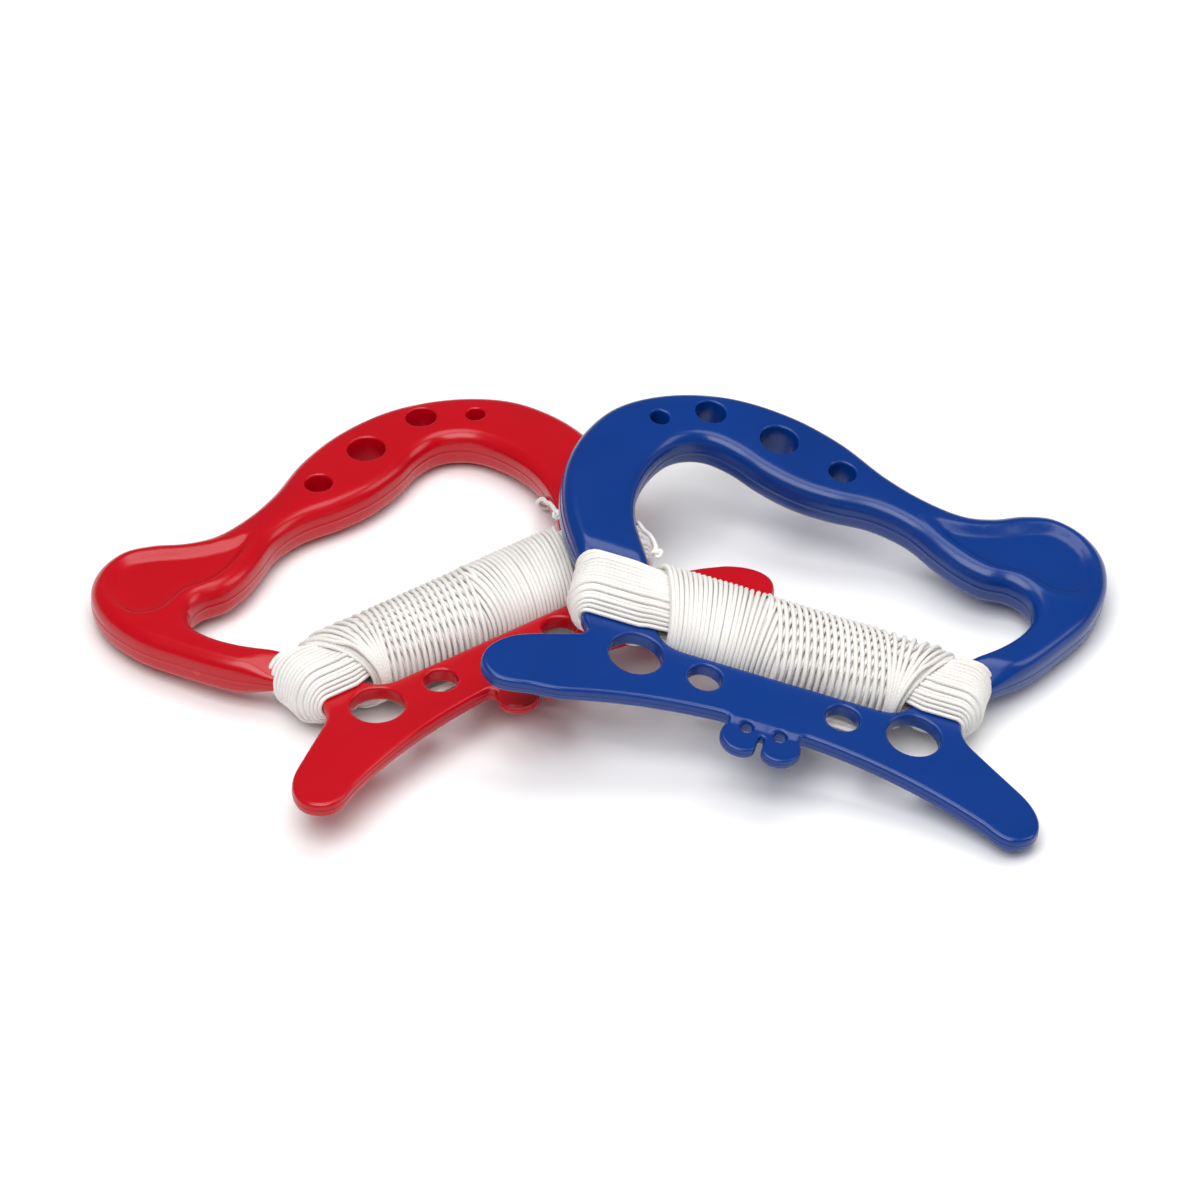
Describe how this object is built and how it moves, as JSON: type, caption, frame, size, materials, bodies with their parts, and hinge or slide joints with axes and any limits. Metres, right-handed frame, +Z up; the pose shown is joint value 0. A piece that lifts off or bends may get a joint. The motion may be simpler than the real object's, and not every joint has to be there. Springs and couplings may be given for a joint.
{
  "type": "kite control handle pair",
  "caption": "Pair of moulded hand loops for a two-line kite, each with a horned winder plate, a line clip and its flying line wound on.",
  "frame": {"origin": "middle of the pair's footprint on the surface it lies on", "axes": "+X from the red handle to the blue one, +Y towards the hand loops, +Z up"},
  "size_m": [0.2632, 0.1715, 0.0404],
  "materials": {
    "red_plastic": "glossy injection moulding",
    "blue_plastic": "glossy injection moulding",
    "flying_line": "braided polyester line"
  },
  "bodies": {
    "red": {"red_handle": "red_plastic", "red_line_winding": "flying_line", "red_anchor_lead": "flying_line", "red_anchor_knot": "flying_line", "red_end_loop": "flying_line", "red_end_knot": "flying_line"},
    "blue": {"blue_handle": "blue_plastic", "blue_line_winding": "flying_line", "blue_anchor_lead": "flying_line", "blue_anchor_knot": "flying_line", "blue_end_loop": "flying_line", "blue_end_knot": "flying_line"}
  },
  "joints": [
    {"name": "blue_lift", "type": "slide", "parent": "red", "child": "blue", "axis": [0, 0, 1], "range_m": [0, 0.1]}
  ]
}
